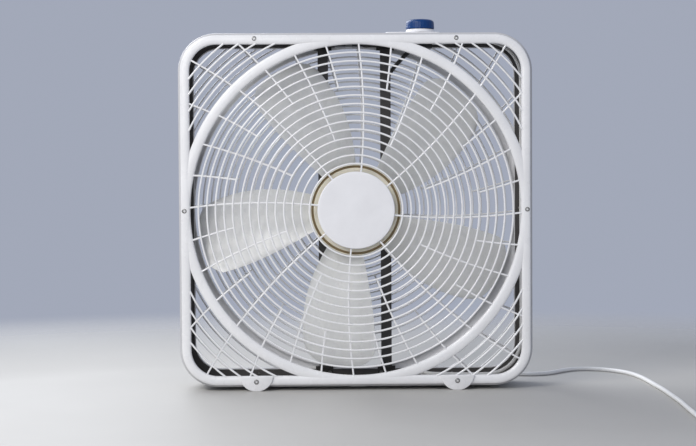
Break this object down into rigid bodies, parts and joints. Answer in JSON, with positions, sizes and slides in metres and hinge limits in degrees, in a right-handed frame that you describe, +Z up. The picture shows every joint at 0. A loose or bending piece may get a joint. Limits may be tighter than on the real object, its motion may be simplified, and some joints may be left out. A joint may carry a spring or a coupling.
{
  "type": "box fan",
  "caption": "Square floor or window box fan: steel housing, moulded ring grilles front and back, bladed impeller on a motor between struts, rotary knob on top.",
  "frame": {"origin": "on the floor, under the middle of the housing", "axes": "+Z up, front grille faces -Y, +X to the right seen from the front"},
  "size_m": [0.7943, 0.6495, 0.5565],
  "materials": {
    "white_steel": "smooth white powder coat, dark inside",
    "white_moulding": "semi-gloss moulded plastic",
    "milky_blade": "translucent milky moulding",
    "dark_strut": "black paint",
    "zinc_screw": "zinc plated",
    "motor_steel": "drawn and plated",
    "lamination_steel": "stacked laminations",
    "ground_steel": "ground",
    "copper_wire": "enamelled copper wire",
    "bronze": "sintered bronze",
    "tan_fibre": "fibre washer",
    "blue_knob": "semi-gloss navy plastic",
    "black_plastic": "moulded",
    "black_sleeve": "braided sleeve",
    "white_cord": "soft PVC",
    "plated_brass": "plated"
  },
  "bodies": {
    "fan_body": {"housing_band": "white_steel", "front_grille": "white_moulding", "front_cap": "white_moulding", "rear_grille": "white_moulding", "left_strut": "dark_strut", "right_strut": "dark_strut", "strut_screws": "zinc_screw", "motor_rear_shell": "motor_steel", "motor_front_shell": "motor_steel", "stator_core": "lamination_steel", "windings": "copper_wire", "front_bearing": "bronze", "rear_bearing": "bronze", "motor_through_bolts": "zinc_screw", "motor_through_nuts": "zinc_screw", "motor_mount_screws": "zinc_screw", "motor_mount_nuts": "zinc_screw", "switch_plate": "white_moulding", "knob_collar": "white_moulding", "switch_body": "black_plastic", "switch_nut": "zinc_screw", "capacitor": "black_plastic", "capacitor_strap": "zinc_screw", "capacitor_leads": "black_sleeve", "harness_sleeve": "black_sleeve", "supply_lead": "white_cord", "left_foot": "white_moulding", "right_foot": "white_moulding", "foot_screws": "zinc_screw", "front_grille_screws": "zinc_screw", "rear_grille_screws": "zinc_screw", "cord_boot": "white_cord", "cord_tube": "white_cord", "cord_coil": "white_cord", "cord_tie": "black_plastic", "plug_body": "white_cord", "plug_blades": "plated_brass"},
    "impeller": {"fan_blade": "milky_blade", "blade_nut": "zinc_screw", "shaft": "ground_steel", "rotor": "lamination_steel", "thrust_washers": "tan_fibre"},
    "speed_knob": {"knob": "blue_knob", "switch_spindle": "ground_steel"}
  },
  "joints": [
    {"name": "blade_spin", "type": "hinge", "parent": "fan_body", "child": "impeller", "pos_m": [0, 0, 0.269], "axis": [0, -1, 0], "continuous": true},
    {"name": "knob_turn", "type": "hinge", "parent": "fan_body", "child": "speed_knob", "pos_m": [0.0995, 0, 0.5415], "axis": [0, 0, -1], "range_deg": [0, 270]}
  ]
}
